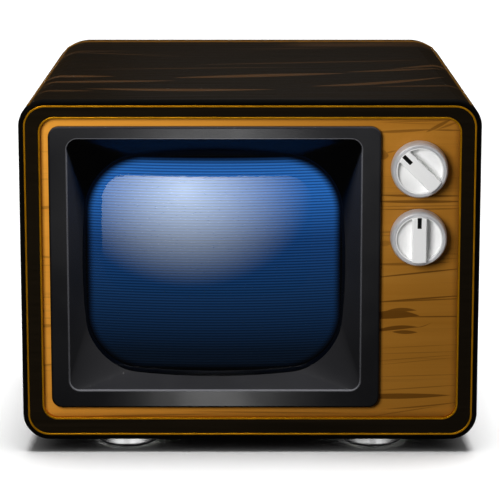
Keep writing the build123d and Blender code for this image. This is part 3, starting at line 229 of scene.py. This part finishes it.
# light wood of the front panel: grain runs along X, so u is x and v is z
PANEL_STREAKS = (
    (150, 332.7, 34, 1.5, 0.05, 0.5, 0.55), (187, 338.2, 13, 2.0, 0.52, 0, 0.6),
    (196, 333.7, 15, 1.0, -0.02, 0, 0.55), (197, 338.7, 11, 1.2, 0.38, 0, 0.5),
    (165, 342.7, 40, 0.6, 0.03, 0, 0.4), (160, 340.7, 36, 0.5, -0.03, 0, 0.35),
    (132, 308.7, 6, 5.0, -0.15, 0, 0.55), (140, 311.7, 6, 0.8, 0.25, 0, 0.5),
    (168, 266.7, 50, 1.4, -0.01, 0.6, 0.7), (168, 260.7, 52, 1.6, 0.0, 0.4, 0.7),
    (168, 256.2, 50, 0.7, 0.01, 0, 0.5), (170, 253, 50, 0.8, 0.01, 0.3, 0.65),
    (168, 274.7, 60, 0.4, -0.01, 0, 0.3), (175, 285.7, 60, 0.4, -0.02, 0, 0.35),
    (145, 229.5, 24, 0.8, 0.02, 0, 0.55), (144, 225.9, 22, 0.6, 0.02, 0, 0.5),
    (134, 217.7, 9, 3.0, 0.05, 0, 0.35), (190, 206.9, 30, 0.6, 0.0, 0, 0.4),
    (160, 196.6, 44, 1.6, 0.03, 0.8, 0.5), (190, 201.8, 30, 0.5, 0.02, 0, 0.4),
    (168, 187, 58, 0.9, 0.108, 0, 0.75), (170, 160.2, 60, 0.9, 0.08, 0, 0.75),
    (172, 158.7, 58, 0.8, 0.045, 0, 0.65), (142, 143.9, 29, 4.4, 0.05, -3.0, 0.8),
    (150, 148.6, 18, 2.2, 0.08, -2.0, 0.75), (190, 141.7, 40, 0.7, 0.01, 0, 0.7),
    (146, 129.9, 24, 2.2, 0.11, -2.0, 0.8), (156, 125.4, 13, 2.0, -0.02, 0, 0.75),
    (174, 131.5, 9, 0.5, 0.3, 1.5, 0.6), (168, 110.4, 50, 0.4, 0.05, 0, 0.4),
    (168, 103.8, 50, 0.5, 0.03, 0, 0.4), (165, 98.1, 50, 0.5, 0.08, 0, 0.4),
    (165, 94.5, 50, 0.4, 0.1, 0, 0.4), (170, 79.7, 55, 0.5, 0.03, 0, 0.4),
    (170, 66.8, 50, 0.6, 0.07, 0, 0.45), (148, 57.9, 56, 2.9, 0.01, 0.5, 0.75),
    (176, 47.3, 44, 0.8, 0.1, 1.0, 0.6), (155, 41.7, 40, 0.6, 0.16, 0, 0.5),
    (-150, 348.2, 60, 0.7, 0.02, 0, 0.45), (-20, 346.7, 80, 0.9, -0.015, 0, 0.5),
    (90, 347.7, 60, 0.8, 0.02, 0, 0.5), (-110, 37.6, 80, 0.9, 0.02, 0, 0.5),
    (20, 40.7, 90, 0.8, -0.01, 0, 0.5), (-205, 254.7, 9, 1.6, 0.1, 0, 0.5),
    (-205, 203.8, 9, 1.2, -0.1, 0, 0.45), (-205, 132, 9, 1.8, 0.05, 0, 0.5),
    (-205, 90.9, 9, 1.0, 0.1, 0, 0.5),
)

panel_wood = Shader("light_wood", Specular_IOR_Level=0.25)
x, y, z = panel_wood.axes()
waver = panel_wood.noise(panel_wood.stretched((5, 5, 14)), 1.0, 2.0)
z_grain = panel_wood.math("MULTIPLY_ADD", waver, 10 * MM, z)
fine = panel_wood.noise(panel_wood.vector(panel_wood.scaled(x, 3.2), 0.0, panel_wood.scaled(z_grain, 250.0)),
                        1.0, 3.0, 0.6)
broad = panel_wood.noise(panel_wood.vector(panel_wood.scaled(x, 2.0), 0.0, panel_wood.scaled(z_grain, 46.0)),
                         1.0, 2.0, 0.5, 0.4)
lines = panel_wood.span(fine, 0.56, 0.74)
tone = panel_wood.math("MULTIPLY_ADD", broad, 0.5, panel_wood.scaled(fine, 0.35))
wood_colour = panel_wood.ramp(tone, (0.2, linear(206, 136, 44)), (0.45, linear(222, 150, 54)),
                              (0.7, linear(232, 162, 66)))
wood_colour = panel_wood.mix(panel_wood.scaled(lines, 0.45), wood_colour, linear(140, 84, 20))
marks = streaks(panel_wood, x, z, PANEL_STREAKS)
wood_colour = panel_wood.mix(marks, wood_colour, linear(112, 66, 16))
# painted shade: darker towards the lower right, and a painted shadow along the panel's right and lower edges
shade_diagonal = panel_wood.math("SUBTRACT", x, panel_wood.scaled(z, 0.8))
painted_shade = panel_wood.span(shade_diagonal, -0.5, 0.14, 1.0, 0.42)
# painted shadow: the colour darkens near the panel's right and lower edges
edge_x = panel_wood.math("SUBTRACT", open_high.x - 2 * MM, x)
edge_z = panel_wood.math("SUBTRACT", z, open_low.z + 2 * MM)
edge_shadow = panel_wood.math("SMOOTH_MIN", edge_x, edge_z, 8 * MM)
edge_shadow = panel_wood.span(edge_shadow, -2 * MM, 7 * MM, 0.42, 1.0)
painted_shade = panel_wood.math("MULTIPLY", painted_shade, edge_shadow)
wood_colour = panel_wood.mix(1.0, wood_colour, panel_wood.vector(painted_shade, painted_shade, painted_shade), "MULTIPLY")
panel_wood.set("Base Color", wood_colour)
panel_wood.set("Roughness", panel_wood.span(tone, 0.2, 0.7, 0.36, 0.5))
panel_wood.bump(panel_wood.math("SUBTRACT", panel_wood.scaled(fine, 0.4), marks), 0.15 * MM, 0.5)
on(panel_wood, "front_panel")

# dark wood of the cabinet: the grain crosses the top and runs on down the sides, so u is the way across the
# skin from the middle of the top and v is the depth
TOP_STREAKS = (
    (-70, 50, 96, 6, -0.02, 5, 0.8), (10, 122, 90, 7, 0.13, 0, 0.8), (-150, 92, 76, 4.5, 0.05, 0, 0.8),
    (-182, 118, 44, 5, 0.0, 0, 0.8), (-190, 46, 34, 3, 0.0, 0, 0.6), (130, 84, 70, 6, 0.33, 8, 0.7),
    (150, 150, 54, 4, 0.2, 0, 0.6), (196, 176, 50, 5, 0.4, 0, 0.6), (182, 70, 60, 3, 0.06, 0, 0.5),
    (-140, 236, 70, 2, -0.18, 0, 0.35), (60, 190, 120, 2.5, 0.1, 0, 0.4),
    (-60, 160, 120, 2, 0.06, 0, 0.35), (-320, 60, 100, 2.0, 0.04, 4, 0.25),
    (-350, 150, 120, 2.5, -0.06, -6, 0.3), (-430, 96, 90, 2, 0.08, 0, 0.25),
    (-400, 236, 110, 2, 0.05, 5, 0.25), (-480, 190, 60, 2, 0.0, 0, 0.2),
    (-300, 276, 90, 1.6, 0.03, 0, 0.2), (310, 210, 90, 2, 0.06, 5, 0.25),
    (360, 112, 120, 2.5, -0.07, 6, 0.3), (450, 230, 90, 2, 0.05, 0, 0.25),
    (400, 270, 110, 2, -0.04, 0, 0.25), (470, 60, 80, 2, 0.05, 0, 0.25),
    (300, 40, 90, 1.6, 0.02, 0, 0.2),
)

dark_wood = Shader("dark_wood", Specular_IOR_Level=0.08)
x, y, z = dark_wood.axes()
fall = dark_wood.math("MULTIPLY", dark_wood.math("SIGN", x), dark_wood.math("SUBTRACT", TOP, z))
wrap = dark_wood.math("ADD", x, fall)
depth = dark_wood.math("SUBTRACT", y, FRONT)
waver = dark_wood.noise(dark_wood.vector(dark_wood.scaled(wrap, 3.0), dark_wood.scaled(depth, 9.0)),
                        1.0, 2.0)
depth_grain = dark_wood.math("MULTIPLY_ADD", waver, 40 * MM, depth)
fine = dark_wood.noise(dark_wood.vector(dark_wood.scaled(wrap, 4.0), dark_wood.scaled(depth_grain, 210.0)),
                       1.0, 3.0, 0.6)
broad = dark_wood.noise(dark_wood.vector(dark_wood.scaled(wrap, 2.2), dark_wood.scaled(depth_grain, 26.0)),
                        1.0, 2.0, 0.5, 0.6)
marks = dark_wood.math("MAXIMUM", streaks(dark_wood, wrap, depth, TOP_STREAKS),
                       dark_wood.scaled(dark_wood.span(broad, 0.60, 0.70), 0.35))
wood_colour = dark_wood.ramp(fine, (0.3, linear(12, 7, 1)), (0.7, linear(24, 15, 4)))
wood_colour = dark_wood.mix(marks, wood_colour, linear(74, 49, 24))
behind_rim = dark_wood.span(depth, 4.5 * MM, 6.0 * MM)
wood_colour = dark_wood.mix(behind_rim, linear(6, 5, 4), wood_colour)
dark_wood.set("Base Color", wood_colour)
dark_wood.set("Roughness", dark_wood.span(fine, 0.3, 0.7, 0.34, 0.5))
dark_wood.bump(fine, 0.1 * MM, 0.5)
on(dark_wood, "cabinet_shell")

frame_wood = Shader("dark_frame", Specular_IOR_Level=0.3)
x, y, z = frame_wood.axes()
fine = frame_wood.noise(frame_wood.vector(frame_wood.scaled(x, 5.0), 0.0, frame_wood.scaled(z, 260.0)),
                        1.0, 3.0, 0.6)
frame_wood.set("Base Color", frame_wood.ramp(fine, (0.3, linear(15, 11, 5)), (0.7, linear(24, 18, 10))))
frame_wood.set("Roughness", frame_wood.span(fine, 0.3, 0.7, 0.42, 0.55))
frame_wood.bump(fine, 0.08 * MM, 0.4)
on(frame_wood, "face_frame")

bare_wood = Shader("soft_wood", Roughness=0.75)
fine = bare_wood.noise(bare_wood.stretched((12, 300, 40)), 1.0, 3.0)
bare_wood.set("Base Color", bare_wood.ramp(fine, (0.3, linear(170, 128, 80)), (0.7, linear(206, 166, 112))))
bare_wood.bump(fine, 0.2 * MM, 0.5)
on(bare_wood, "back_cleats")


# ---------------------------------------------------------------- metals
def metal(name, dark, light, rough, grain=(90, 90, 90), roughness_spread=0.08):
    """A metal whose tone and polish vary a little, in streaks along the axis with the smallest grain."""
    shader = Shader(name, Metallic=1.0)
    marks = shader.noise(shader.stretched(grain), 1.0, 3.0, 0.6)
    shader.set("Base Color", shader.ramp(marks, (0.3, dark), (0.7, light)))
    shader.set("Roughness", shader.span(marks, 0.3, 0.7, rough - roughness_spread, rough + roughness_spread))
    return shader


gold = metal("brass_trim", linear(206, 142, 14), linear(222, 156, 24), 0.46, roughness_spread=0.03)
on(gold, "outer_trim", "inner_trim", "terminal_screws", "inlet_pins")
silver = metal("silver_rim", linear(196, 196, 198), linear(208, 208, 210), 0.36, roughness_spread=0.02)
silver.set("Metallic", 0.6)
on(silver, "channel_knob_rim", "volume_knob_rim")
steel = metal("steel", linear(150, 152, 156), linear(188, 190, 192), 0.38)
on(steel, "tube_band", "tube_mount_posts", "front_screws", "electron_gun", "chassis_frame",
   "power_transformer", "control_bracket", "tuner_case", "channel_shaft", "volume_control",
   "volume_shaft", "shaft_nuts", "speaker_frame", "rear_cover_screws", "preset_pots")
bright = metal("aluminium", linear(188, 190, 194), linear(214, 216, 218), 0.33)
on(bright, "electrolytic_capacitors", "heat_sink")
copper = metal("copper", linear(150, 72, 34), linear(196, 104, 52), 0.35, (40, 900, 40))
on(copper, "yoke_coils")


# ---------------------------------------------------------------- plastics, rubber, board and cloth
def moulded(name, first, second, rough, grain=900.0, bump=0.04, **sockets):
    """A moulded or coated surface with a fine texture, from one tone to another."""
    shader = Shader(name, **sockets)
    marks = shader.noise(shader.here, grain, 3.0, 0.6)
    wide = shader.noise(shader.here, 14.0, 2.0)
    shader.set("Base Color", shader.ramp(wide, (0.3, first), (0.7, second)))
    shader.set("Roughness", shader.span(wide, 0.3, 0.7, rough * 0.88, rough * 1.12))
    shader.bump(marks, bump * MM, 0.4)
    return shader


surround = moulded("black_gloss", linear(9, 9, 10), linear(12, 12, 13), 0.23, 500.0, 0.005,
                   Specular_IOR_Level=0.18)
# painted highlight: a thin lighter line round the edge of the window in the surround, for the light its rim
# catches
WINDOW_LOW, WINDOW_HIGH, WINDOW_CORNER = (-182.35 * MM, 64.9 * MM), (111.35 * MM, 325.9 * MM), 11 * MM
x, y, z = surround.axes()
to_edge = surround.inside(x, z, WINDOW_LOW, WINDOW_HIGH, WINDOW_CORNER)
line = surround.span(surround.math("ABSOLUTE", to_edge), 0.4 * MM, 1.0 * MM, 1.0, 0.0)
plain = surround.surface.inputs["Base Color"].links[0].from_socket
surround.set("Base Color", surround.mix(line, plain, linear(40, 40, 42)))
on(surround, "screen_bezel")
white = moulded("white_plastic", linear(246, 246, 246), linear(252, 252, 251), 0.34, 700.0, 0.01)
on(white, "channel_knob", "volume_knob")
black = moulded("black_matte", linear(12, 12, 12), linear(18, 18, 18), 0.55)
on(black, "channel_knob_pointer", "volume_knob_pointer", "tube_base", "neck_cup", "power_inlet",
   "tuner_turret", "centering_ring_front", "centering_ring_rear", "brightness_knob", "contrast_knob",
   "vertical_hold_knob")
foot_black = moulded("foot_gloss", linear(16, 16, 17), linear(24, 24, 25), 0.56, 500.0, 0.01)
on(foot_black, "foot_front_left", "foot_front_right", "foot_rear_left", "foot_rear_right")
rubber = moulded("rubber", linear(16, 16, 16), linear(26, 26, 26), 0.8)
on(rubber, "foot_pads", "anode_cap", "anode_lead")
ferrite = moulded("ferrite", linear(38, 38, 40), linear(56, 55, 56), 0.7)
on(ferrite, "yoke_core", "flyback_transformer")
tube_coat = moulded("tube_glass", linear(26, 26, 28), linear(40, 40, 42), 0.45)
on(tube_coat, "crt_funnel")
board = moulded("circuit_board", linear(132, 88, 36), linear(158, 110, 50), 0.5)
on(board, "main_board", "tube_socket_board", "terminal_board")

fibre = Shader("fibreboard", Roughness=0.8)
flecks = fibre.noise(fibre.stretched((420, 420, 700)), 1.0, 4.0, 0.7)
cloud = fibre.noise(fibre.here, 22.0, 2.0)
fibre_tone = fibre.math("MULTIPLY_ADD", flecks, 0.7, fibre.scaled(cloud, 0.3))
fibre.set("Base Color", fibre.ramp(fibre_tone, (0.3, linear(54, 36, 22)), (0.5, linear(84, 58, 36)),
                                   (0.72, linear(118, 86, 56))))
fibre.bump(flecks, 0.3 * MM, 0.6)
on(fibre, "rear_cover")

weave = Shader("cloth", Roughness=0.9)
x, y, z = weave.axes()
THREADS_PER_METRE = 4200.0 / (2 * math.pi)
warp = weave.math("SINE", weave.scaled(y, 2 * math.pi * THREADS_PER_METRE))
weft = weave.math("SINE", weave.scaled(z, 2 * math.pi * THREADS_PER_METRE))
threads = weave.math("MULTIPLY_ADD", warp, 0.25, weave.math("MULTIPLY_ADD", weft, 0.25, 0.5))
weave.set("Base Color", weave.ramp(threads, (0.1, linear(10, 9, 8)), (0.9, linear(70, 62, 50))))
weave.bump(threads, 0.3 * MM, 0.8)
on(weave, "speaker_cloth")

paper = Shader("paper", Roughness=0.9)
fluff = paper.noise(paper.here, 700.0, 4.0, 0.7)
paper.set("Base Color", paper.ramp(fluff, (0.3, linear(34, 31, 28)), (0.7, linear(58, 54, 48))))
paper.bump(fluff, 0.2 * MM, 0.6)
on(paper, "speaker_cone")

# ---------------------------------------------------------------- the screen
glass = Shader("screen_glass", Roughness=0.03, IOR=1.52, Transmission_Weight=1.0)
glass.set("Base Color", linear(226, 232, 238))
on(glass, "crt_faceplate")

LINE_PITCH = 2.87 * MM
SCREEN_CORNER = 60 * MM
raster = Shader("phosphor", Roughness=0.6, Specular_IOR_Level=0.0)
x, y, z = raster.axes()
beam = raster.math("SINE", raster.scaled(z, 2 * math.pi / LINE_PITCH))
beam = raster.span(beam, -0.7, 0.5, 0.42, 1.0)
height = raster.span(z, lit_low.z, lit_high.z, smooth=False)
glow = raster.ramp(height, (0.0, linear(6, 16, 28)), (0.10, linear(8, 23, 40)), (0.38, linear(20, 54, 94)),
                   (0.62, linear(26, 70, 126)), (0.84, linear(46, 114, 196)), (0.97, linear(46, 112, 192)))
# painted shade: the glow fades to dark over the last 10 mm towards the screen's edges
to_edge = raster.inside(x, z, (lit_low.x, lit_low.z), (lit_high.x, lit_high.z), SCREEN_CORNER)
painted_edge_shade = raster.span(to_edge, 1 * MM, 10 * MM)
power = raster.math("MULTIPLY", beam, painted_edge_shade)
raster.set("Base Color", linear(3, 3, 4))
raster.set("Emission Color", raster.mix(1.0, glow, raster.vector(power, power, power), "MULTIPLY"))
raster.set("Emission Strength", 1.15)
on(raster, "phosphor_screen")


# ---------------------------------------------------------------- pieces made here
def curve_piece(name, points, radius, shader):
    """A round rod along points, which rides on the cabinet."""
    data = bpy.data.curves.new(name, "CURVE")
    data.dimensions = "3D"
    data.bevel_depth = radius
    data.bevel_resolution = 3
    data.use_fill_caps = True
    line = data.splines.new("POLY")
    line.points.add(len(points) - 1)
    for target, point in zip(line.points, points):
        target.co = (*point, 1.0)
    piece = bpy.data.objects.new(name, data)
    bpy.context.scene.collection.objects.link(piece)
    data.materials.append(shader.material)
    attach(piece, "cabinet")
    return piece


# the cabinet's width and top corners, at the front and at the rear, and its depth
WIDTHS, CORNERS, LENGTH = (460 * MM, 423 * MM), (27 * MM, 40 * MM), 320 * MM
# the inlay: a rod whose middle lies under the skin, so that only its back shows
INLAY_R, INLAY_SUNK = 1.9 * MM, 0.5 * MM
INLAY_ANGLE = math.radians(36)
INLAY_FRONT, INLAY_REAR = 3 * MM, LENGTH - 16 * MM
SIDE_STEPS, CORNER_STEPS = 40, 12


def shell_point(depth, angle, side):
    """A point just under the skin on a top corner, with the angle from the top face towards the side."""
    share = depth / LENGTH
    half = (WIDTHS[0] + (WIDTHS[1] - WIDTHS[0]) * share) / 2
    corner = CORNERS[0] + (CORNERS[1] - CORNERS[0]) * share
    reach = corner - INLAY_SUNK
    return Vector((side * (half - corner + reach * math.sin(angle)), FRONT + depth,
                   TOP - corner + reach * math.cos(angle)))


# back along the left corner, over to the right one, and forward again
run = INLAY_REAR - 2 * INLAY_FRONT
sides = [INLAY_FRONT + run * k / SIDE_STEPS for k in range(SIDE_STEPS + 1)]
turns = [INLAY_ANGLE * k / CORNER_STEPS for k in range(CORNER_STEPS + 1)]
inlay = [shell_point(depth, INLAY_ANGLE, -1) for depth in sides]
inlay += [shell_point(INLAY_REAR, angle, -1) for angle in reversed(turns)]
inlay += [shell_point(INLAY_REAR, angle, 1) for angle in turns]
inlay += [shell_point(depth, INLAY_ANGLE, 1) for depth in reversed(sides)]
dull_gold = metal("dull_gold", linear(104, 68, 4), linear(128, 84, 8), 0.42)
dull_gold.set("Metallic", 0.2)
curve_piece("top_inlay", inlay, INLAY_R, dull_gold)

# ---------------------------------------------------------------- floor, light and camera
FLOOR = 14.0     # half the side of the floor
floor_mesh = bpy.data.meshes.new("floor")
floor_mesh.from_pydata([(-FLOOR, -FLOOR, 0), (FLOOR, -FLOOR, 0), (FLOOR, FLOOR, 0), (-FLOOR, FLOOR, 0)], [],
                       [(0, 1, 2, 3)])
floor = bpy.data.objects.new("floor", floor_mesh)
bpy.context.scene.collection.objects.link(floor)
floor.visible_glossy = False
floor.visible_diffuse = False
floor.visible_transmission = False
floor_paint = Shader("floor_paint", Roughness=1.0, Specular_IOR_Level=0.0, Base_Color=(0.92, 0.92, 0.92, 1))
on(floor_paint, floor)


def only(light, *names):
    """Limits a light to the named CAD nodes, or to pieces made here."""
    group = bpy.data.collections.new(light.name + "_receivers")
    for name in names:
        group.objects.link(nodes[name] if isinstance(name, str) else name)
    light.light_linking.receiver_collection = group


def skip(light, *pieces):
    """Keeps a light off some pieces."""
    group = bpy.data.collections.new(light.name + "_receivers")
    for number, piece in enumerate(pieces):
        group.objects.link(piece)
        group.collection_objects[number].light_linking.link_state = "EXCLUDE"
    light.light_linking.receiver_collection = group


def first_bounce_only(light):
    """Keeps a light out of reflections of reflections. A lamp is looked up one bounce late, at depth 2."""
    light.data.use_nodes = True
    lamp = Graph(light.data.node_tree)
    depth = lamp.node("ShaderNodeLightPath").outputs["Ray Depth"]
    lamp.put(lamp.first("EMISSION").inputs["Strength"], lamp.math("LESS_THAN", depth, 2.5))


def area(name, place, aim, size, watts, size_y=None, glossy=True):
    """A rectangular soft light that the camera doesn't see."""
    data = bpy.data.lights.new(name, "AREA")
    data.shape = "RECTANGLE"
    data.size = size
    data.size_y = size_y or size
    data.energy = watts
    light = bpy.data.objects.new(name, data)
    light.location = place
    light.rotation_euler = (Vector(aim) - Vector(place)).to_track_quat("-Z", "Y").to_euler()
    bpy.context.scene.collection.objects.link(light)
    light.visible_camera = False
    light.visible_transmission = False
    light.visible_glossy = glossy
    return light


def softbox(name, middle, width, height, corner, strength):
    """An upright glowing panel with round corners, facing the set, which only reflections show.
    Its glow has the given strength near the upper left and fades away from there."""
    half_w, half_h = width / 2, height / 2
    arc = [math.radians(90 * k / 8) for k in range(9)]
    peak, flatness, reach = (-0.1 * width, half_h - 0.08), 1.3, 0.62 * width
    outline = []
    for side_x, side_z, turn in ((1, 1, 0), (-1, 1, 1), (-1, -1, 2), (1, -1, 3)):
        for angle in arc:
            bend = angle + turn * math.pi / 2
            outline.append((side_x * (half_w - corner) + corner * math.cos(bend),
                            0.0, side_z * (half_h - corner) + corner * math.sin(bend)))
    mesh = bpy.data.meshes.new(name)
    mesh.from_pydata(outline, [], [tuple(range(len(outline)))])
    panel = bpy.data.objects.new(name, mesh)
    panel.location = middle
    bpy.context.scene.collection.objects.link(panel)
    glow = Shader(name + "_glow", Roughness=1.0, Base_Color=(0, 0, 0, 1), Emission_Color=(0.93, 1.0, 0.97, 1))
    away = glow.node("ShaderNodeVectorMath", operation="DISTANCE")
    glow.put(away.inputs[0], glow.stretched((1.0, 1.0, flatness)))
    glow.put(away.inputs[1], (peak[0], 0.0, flatness * peak[1]))
    fade = glow.math("POWER", glow.span(away.outputs["Value"], 0.0, reach, 1.0, 0.0, smooth=False), 1.5)
    glow.set("Emission Strength", glow.scaled(fade, strength))
    on(glow, panel)
    panel.visible_camera = False
    panel.visible_diffuse = False
    panel.visible_transmission = False
    panel.visible_shadow = False
    return panel


# lights for the whole set, which reflections don't show
cabinet_middle = Vector((0, 0, TOP / 2))
for light in (area("key", (-0.66, -1.35, 0.78), (-0.12, FRONT, 0.22), 0.75, 22, glossy=False),
              area("side", (2.4, 0.7, 0.8), cabinet_middle, 1.2, 80, glossy=False),
              area("side_left", (-2.4, 0.7, 0.8), cabinet_middle, 1.2, 60, glossy=False),
              area("back", (-0.6, 2.6, 0.8), cabinet_middle, 1.4, 150, glossy=False)):
    skip(light, floor, nodes["screen_bezel"])

# the sheen on the front of the top
top_glow = area("top_glow", (0.03, 0.5, 0.62), (0.0, FRONT, TOP), 0.35, 0.035, size_y=0.12)
only(top_glow, "cabinet_shell")

# the pale patch on the glass
screen_box = softbox("screen_softbox", (-0.105, FRONT - 1.5, -0.02), 1.36, 0.78, 0.17, 13.5)
only(screen_box, "crt_faceplate")

# the sheen in the middle of the black surround, and light on the slope under the screen
surround_box = area("surround_strip", (-0.044, FRONT - 0.9, -0.06), (-0.044, FRONT, 0.19), 0.10, 3.1,
                    size_y=0.46)
slope_box = area("slope_light", (-0.04, FRONT - 0.17, 0.95), (-0.04, FRONT, 0.07), 0.3, 70.0, size_y=0.1,
                 glossy=False)
for light in (surround_box, slope_box):
    only(light, "screen_bezel")
    first_bounce_only(light)

foot_box = area("foot_light", (0, FRONT - 0.7, -0.40), (0, FRONT, 0), 3.0, 270.0, size_y=0.35)
only(foot_box, "foot_front_left", "foot_front_right")

# the metals are lit by what they mirror
for light in (area("metal_fill", (0, FRONT - 1.8, 0.3), (0, FRONT, 0.25), 3.2, 14.0, size_y=2.6),
              area("metal_key", (-0.5, -1.0, 1.1), (0.1, FRONT, 0.25), 0.5, 10.0)):
    only(light, "channel_knob_rim", "volume_knob_rim", "outer_trim", "inner_trim")

# a soft sun for the floor alone, a little behind the set
sun_data = bpy.data.lights.new("sun", "SUN")
sun_data.energy = 3.8
sun_data.angle = math.radians(30)
sun = bpy.data.objects.new("sun", sun_data)
sun.rotation_euler = (math.radians(-3.2), math.radians(1.2), 0)
bpy.context.scene.collection.objects.link(sun)
only(sun, floor)

# a dim room with a lighter ceiling, and pure white where the camera looks past the set
ROOM_GLOW, CEILING_GLOW = 0.02, 0.55
world = bpy.data.worlds.new("studio")
bpy.context.scene.world = world
world.use_nodes = True
sky = Graph(world.node_tree)
split = sky.node("ShaderNodeSeparateXYZ")
sky.put(split.inputs[0], sky.node("ShaderNodeTexCoord").outputs["Generated"])
ceiling = sky.math("POWER", sky.math("MAXIMUM", split.outputs[2], 0.0), 3.0)
choose = sky.node("ShaderNodeMix")
sky.put(choose.inputs["Factor"], sky.node("ShaderNodeLightPath").outputs["Is Camera Ray"])
sky.put(choose.inputs["A"], sky.math("MULTIPLY_ADD", ceiling, CEILING_GLOW, ROOM_GLOW))
sky.put(choose.inputs["B"], 1.0)
background = sky.first("BACKGROUND")
sky.put(background.inputs["Strength"], choose.outputs["Result"])
sky.put(background.inputs["Color"], (1, 1, 1, 1))

camera_data = bpy.data.cameras.new("camera")
camera = bpy.data.objects.new("camera", camera_data)
bpy.context.scene.collection.objects.link(camera)
bpy.context.scene.camera = camera
ELEVATION = math.radians(14.67)
DISTANCE = 3.2
AIM = Vector((0.0, FRONT, 0.2123))
camera.location = AIM + DISTANCE * Vector((0, -math.cos(ELEVATION), math.sin(ELEVATION)))
camera.rotation_euler = (AIM - camera.location).to_track_quat("-Z", "Y").to_euler()
camera_data.sensor_width = 36
camera_data.lens = 230.6
camera_data.clip_end = 60

bpy.context.scene.view_settings.view_transform = "Standard"
